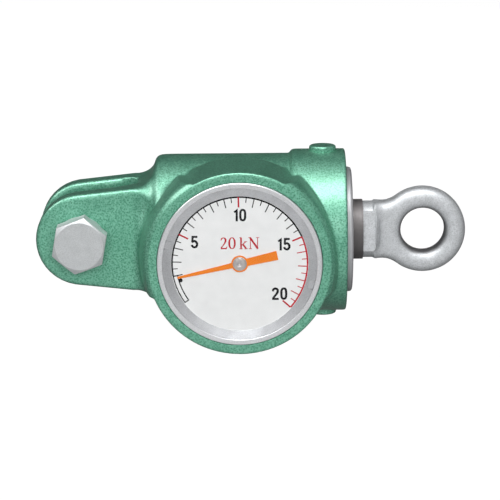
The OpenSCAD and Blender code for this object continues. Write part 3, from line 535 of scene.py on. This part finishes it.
def flatten(node, start, end, tilt, reach):
    """Two spanner flats on a round neck along x: what lies past reach from the axis is brought in."""
    tree, parts, move = moved_vertices(node, "flats")
    facing = {"Y": -math.cos(math.radians(tilt)), "Z": math.sin(math.radians(tilt))}
    away = joined(tree, "ADD", *(joined(tree, "MULTIPLY", parts[axis], facing[axis]) for axis in facing))
    inside = joined(tree, "MULTIPLY", joined(tree, "GREATER_THAN", parts["X"], start),
                    joined(tree, "LESS_THAN", parts["X"], end))
    kept = joined(tree, "MAXIMUM", joined(tree, "MINIMUM", away, reach), -reach)
    inward = joined(tree, "MULTIPLY", joined(tree, "SUBTRACT", kept, away), inside)
    offset = tree.nodes.new("ShaderNodeCombineXYZ")
    for axis, share in facing.items():
        tree.links.new(joined(tree, "MULTIPLY", inward, share), offset.inputs[axis])
    tree.links.new(offset.outputs[0], move["Offset"])


# Where the casting's shoulder runs into ears and barrel, and the eye's neck into its web
shoulder = (("X", 25 * MM, 29 * MM), ("X", 44 * MM, 38 * MM), ("Y", -31 * MM, -26 * MM))
web_start = (("X", 139.5 * MM, 142.5 * MM),)
neck_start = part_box("dust_collar")[1].x
flat_length = 6.2 * MM
flat_reach = 9.6 * MM
flat_tilt = 5
soften("housing", 0.55 * MM)
fillet("housing", 45, shoulder)
soften("eye", 0.3 * MM)
fillet("eye", 14, web_start)
flatten("eye", neck_start - 0.2 * MM, neck_start + flat_length, flat_tilt, flat_reach)


# Print on the dial: lengths in mm, loads in kN, and angles counter-clockwise from +X as it is read
SCALE = ((2, 190.4), (5, 153.3), (10, 90.7), (15, 23.3), (20, -41.8))
NUMBERS = (("5", -21.2, 10.6), ("10", 0.3, 23.4), ("15", 21.0, 9.2), ("20", 18.7, -14.7))
scale_r = 32.0
scale_w = 0.75
major_tick, whole_tick, half_tick = (4.9, 0.75), (4.5, 0.48), (2.6, 0.43)
red_from = 15
zero_box = (190.6, 215.5)
zero_box_r = 29.9
zero_box_w = 0.55
rating_at = (0.2, 9.9)
# How far the print reaches into the dial and stands up from it, where crossing lines differ a little
print_sink = 0.01 * MM
line_rise = 0.04 * MM
figure_rise = 0.05 * MM
mark_step = 0.008 * MM
stroke_step = 0.006 * MM


def scale_angle(load):
    """Angle of a load, which the scale's marks share out evenly between its numbers."""
    for (low, a), (high, b) in zip(SCALE, SCALE[1:]):
        if load <= high:
            return a + (b - a) * (load - low) / (high - low)
    return SCALE[-1][1]


def ray(angle, radius, width):
    a = math.radians(angle)
    return (radius * math.cos(a), radius * math.sin(a), width)


def sweep(start, end, radius, width):
    steps = max(2, round(abs(end - start) / 2))
    return [ray(start + (end - start) * i / steps, radius, width) for i in range(steps + 1)]


def figures(bm, text, u, v, face, base):
    """Prints figures centred on a place of the dial."""
    glyphs, height, gap, weight = face
    pen = u - face_scale * (sum(glyphs[c][0] for c in text) + gap * (len(text) - 1)) / 2
    for c in text:
        wide, strokes = glyphs[c]
        for layer, (closed, line) in enumerate(strokes):
            moved = [(pen + x * face_scale, v + (y - height / 2) * face_scale, w * weight)
                     for x, y, w in line]
            ribbon(bm, moved, base, figure_rise + layer * stroke_step, closed)
        pen += (wide + gap) * face_scale


def print_dial():
    """Raised print: scale with its marks, zero box, numbers and rating."""
    base = -dial_y - print_sink
    black, red = bmesh.new(), bmesh.new()
    first, last = SCALE[0][0], SCALE[-1][0]
    for ink, start, end in ((black, first, red_from), (red, red_from, last)):
        ribbon(ink, sweep(scale_angle(start), scale_angle(end), scale_r, scale_w), base, line_rise)
    for half in range(2 * first, 2 * last + 1):
        load = half / 2
        major = load % 5 == 0
        ink = red if major or load > red_from else black
        length, width = major_tick if major else half_tick if half % 2 else whole_tick
        angle = scale_angle(load)
        ribbon(ink, [ray(angle, scale_r, width), ray(angle, scale_r - length, width)], base,
               line_rise + mark_step)
    box = sweep(*zero_box, scale_r, zero_box_w) + sweep(*reversed(zero_box), zero_box_r, zero_box_w)
    ribbon(black, box, base, line_rise + 2 * mark_step, closed=True)
    for text, u, v in NUMBERS:
        figures(black, text, u, v, NUMBER_FACE, base)
    figures(red, "20 kN", *rating_at, RATING_FACE, base)
    piece("scale_print_black", black, "black", "housing")
    piece("scale_print_red", red, "red", "housing")


def rolled_bezel():
    """Bezel with its rolled outer edge and rounded lip."""
    low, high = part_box("bezel")
    front, back = -low.y, -high.y
    glass = -front_of("lens")
    outer, inner, skirt = bezel_r, 36.6 * MM, 38.0 * MM
    roll, lip = 0.55 * MM, 0.22 * MM
    profile = [(skirt, back), (outer, back)]
    profile += arc((outer - roll, front - roll), roll, 0, 90)
    profile += arc((inner + lip, front - lip), lip, 90, 180)
    profile += [(inner, glass + 0.01 * MM), (skirt, glass + 0.01 * MM)]
    bm = bmesh.new()
    spun(bm, profile, on_dial)
    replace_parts(piece("bezel_ring", bm, "bezel", "housing"), "bezel")


def crowned_cap():
    """Turned cap of the pointer, with a raised ring round its drilled centre."""
    low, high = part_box("pointer_cap")
    radius, foot = (high.x - low.x) / 2, -high.y
    top = foot + 0.5 * MM
    profile = [(0, foot), (radius, foot), (radius, foot + 0.16 * MM), (radius * 0.95, foot + 0.24 * MM),
               (radius * 0.74, top - 0.04 * MM), (radius * 0.6, top), (radius * 0.4, top - 0.02 * MM),
               (radius * 0.3, top - 0.16 * MM), (radius * 0.16, top - 0.4 * MM), (0, top - 0.44 * MM)]
    bm = bmesh.new()
    spun(bm, profile, on_dial, 96)
    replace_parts(piece("pointer_knob", bm, "cap", "pointer"), "pointer_cap")


def bent_tube():
    """Bourdon tube: a flattened tube bent in an arc round the gauge's axis."""
    low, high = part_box("bourdon_tube")
    width, wall = 2.6 * MM, 0.4 * MM
    bend = gauge.x - low.x - width / 2
    middle = -(low.y + high.y) / 2
    half = (high.y - low.y - width) / 2
    first, last, steps = 2, 252, 125

    def section(radius):
        """Flattened round: two half circles, one before the other."""
        return (arc((bend, middle + half), radius, 0, 180, 12)
                + arc((bend, middle - half), radius, 180, 360, 12))

    bm = bmesh.new()
    rows = []
    for i in range(steps + 1):
        a = math.radians(first + (last - first) * i / steps)
        rows.append([[bm.verts.new(on_dial(r * math.cos(a), r * math.sin(a), h)) for r, h in section(s)]
                     for s in (width / 2, width / 2 - wall)])
    count = len(rows[0][0])
    for j in range(count):
        k = (j + 1) % count
        for (outer, inner), (outer_next, inner_next) in zip(rows, rows[1:]):
            bm.faces.new((outer[j], outer[k], outer_next[k], outer_next[j]))
            bm.faces.new((inner[j], inner_next[j], inner_next[k], inner[k]))
        for outer, inner in (rows[0], rows[-1]):
            bm.faces.new((outer[j], outer[k], inner[k], inner[j]))
    tube = piece("bent_tube", bm, "copper", None)
    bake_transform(tube)
    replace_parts(tube, "bourdon_tube")


print_dial()
rolled_bezel()
crowned_cap()
bent_tube()


# Stage: floor, lamps, sky and camera
view_elevation = math.radians(12.3)
view_roll = math.radians(0.5)
view_distance = 1.25
view_target = Vector((81, 0, -10.13)) * MM
frame_width = 0.2442
sensor = 36.0
floor_z = body_box[0].z - 60 * MM


def seen_white(tree, before):
    """1 where the camera looks, and where polished pieces mirror what lies before the object."""
    path = tree.nodes.new("ShaderNodeLightPath")
    mirrored = joined(tree, "MULTIPLY", path.outputs["Is Glossy Ray"], before)
    straight = joined(tree, "MAXIMUM", path.outputs["Is Camera Ray"],
                      path.outputs["Is Transmission Ray"])
    return joined(tree, "MAXIMUM", straight, mirrored)


def make_floor():
    """Pale floor that looks white, keeps a faint shadow and throws little light back up."""
    mesh = bpy.data.meshes.new("floor")
    half = 8.0
    bm = bmesh.new()
    corners = [bm.verts.new((x, y, floor_z)) for x, y in
               ((-half, -half), (half, -half), (half, half), (-half, half))]
    bm.faces.new(corners)
    bm.to_mesh(mesh)
    bm.free()
    floor = bpy.data.objects.new("floor", mesh)
    bpy.context.scene.collection.objects.link(floor)
    material = bpy.data.materials.new("floor_white")
    material.use_nodes = True
    tree = material.node_tree
    tree.nodes.remove(tree.nodes["Principled BSDF"])
    diffuse = tree.nodes.new("ShaderNodeBsdfDiffuse")
    diffuse.inputs["Color"].default_value = (0.12, 0.12, 0.12, 1)
    glow = tree.nodes.new("ShaderNodeEmission")
    glow.inputs["Strength"].default_value = 0.99
    both = tree.nodes.new("ShaderNodeAddShader")
    mix = tree.nodes.new("ShaderNodeMixShader")
    place = tree.nodes.new("ShaderNodeSeparateXYZ")
    tree.links.new(tree.nodes.new("ShaderNodeTexCoord").outputs["Object"], place.inputs[0])
    tree.links.new(diffuse.outputs[0], both.inputs[0])
    tree.links.new(glow.outputs[0], both.inputs[1])
    # Polished pieces mirror it paler just before the object, and darker farther off and to the sides
    far = joined(tree, "MULTIPLY", eased(tree, place.outputs["Y"], -0.25, -0.5), 0.35)
    near = joined(tree, "MULTIPLY", eased(tree, place.outputs["Y"], 0.0, -0.15), 0.75)
    sides = eased(tree, joined(tree, "ABSOLUTE", place.outputs["X"]), 0.12, 0.35)
    before = joined(tree, "MULTIPLY", joined(tree, "SUBTRACT", joined(tree, "ADD", 0.12, near), far),
                    joined(tree, "SUBTRACT", 1.0, joined(tree, "MULTIPLY", sides, 0.4)))
    tree.links.new(seen_white(tree, before), mix.inputs[0])
    tree.links.new(diffuse.outputs[0], mix.inputs[1])
    tree.links.new(both.outputs[0], mix.inputs[2])
    tree.links.new(mix.outputs[0], tree.nodes["Material Output"].inputs["Surface"])
    mesh.materials.append(material)


def make_sky(level):
    """White where the camera looks, and for the rest a dim room that is pale in front and above."""
    world = bpy.data.worlds.new("studio")
    world.use_nodes = True
    bpy.context.scene.world = world
    tree = world.node_tree
    sky = tree.nodes["Background"]
    sky.inputs["Color"].default_value = (1, 1, 1, 1)
    parts = tree.nodes.new("ShaderNodeSeparateXYZ")
    tree.links.new(tree.nodes.new("ShaderNodeTexCoord").outputs["Generated"], parts.inputs[0])
    sides = joined(tree, "ABSOLUTE", parts.outputs["X"])
    across = joined(tree, "SUBTRACT", 0.85, joined(tree, "MULTIPLY", eased(tree, sides, 0.3, 0.9), 0.5))
    above = eased(tree, parts.outputs["Z"], 0.04, 0.3)
    upward = joined(tree, "ADD", 0.4, joined(tree, "MULTIPLY", above, 0.6))
    before = joined(tree, "MULTIPLY", eased(tree, parts.outputs["Y"], 0.6, 0.2),
                    joined(tree, "MULTIPLY", across, upward))
    white = seen_white(tree, before)
    strength = tree.nodes.new("ShaderNodeMapRange")
    strength.inputs["To Min"].default_value = level
    strength.inputs["To Max"].default_value = 1.0
    tree.links.new(white, strength.inputs["Value"])
    tree.links.new(strength.outputs["Result"], sky.inputs["Strength"])


def make_lamp(name, azimuth, elevation, distance, size, level, mirrored=True, lights=True):
    """Softbox aimed at the object; level 1 alone lights a white wall that faces it to white."""
    a, e = math.radians(azimuth), math.radians(elevation)
    away = Vector((math.sin(a) * math.cos(e), -math.cos(a) * math.cos(e), math.sin(e)))
    data = bpy.data.lights.new(name, "AREA")
    data.shape = "RECTANGLE"
    data.size, data.size_y = size
    data.energy = level * (math.pi * distance) ** 2
    lamp = bpy.data.objects.new(name, data)
    lamp.location = view_target + away * distance
    lamp.rotation_euler = away.to_track_quat("Z", "Y").to_euler()
    lamp.visible_camera = False
    lamp.visible_glossy = mirrored
    lamp.visible_diffuse = lights
    bpy.context.scene.collection.objects.link(lamp)


def make_camera():
    data = bpy.data.cameras.new("photo_camera")
    data.sensor_width = sensor
    data.lens = sensor * view_distance / frame_width
    data.clip_start, data.clip_end = 0.05, 60
    camera = bpy.data.objects.new("photo_camera", data)
    away = Vector((0, -math.cos(view_elevation), math.sin(view_elevation)))
    camera.location = view_target + away * view_distance
    aim = away.to_track_quat("Z", "Y").to_matrix().to_4x4() @ Matrix.Rotation(-view_roll, 4, "Z")
    camera.rotation_euler = aim.to_euler()
    bpy.context.scene.collection.objects.link(camera)
    bpy.context.scene.camera = camera


make_floor()
make_sky(0.03)
# Azimuth from the front and elevation in degrees, then distance and size in metres, and level
make_lamp("key", 3, 15, 1.7, (1.1, 0.6), 0.92, mirrored=False)
make_lamp("strip", -10, 62, 1.5, (1.3, 0.45), 0.1, mirrored=False)
make_lamp("gleam", -10, 68, 1.5, (1.2, 0.7), 1.4, lights=False)
make_lamp("side", -85, 44, 1.5, (0.8, 0.4), 0.5, lights=False)
make_lamp("front", 0, 18, 1.5, (0.35, 0.3), 0.07, lights=False)
make_lamp("rear", 168, 8, 1.8, (1.0, 0.6), 0.5, mirrored=False)
make_camera()
bpy.context.scene.view_settings.view_transform = "Standard"
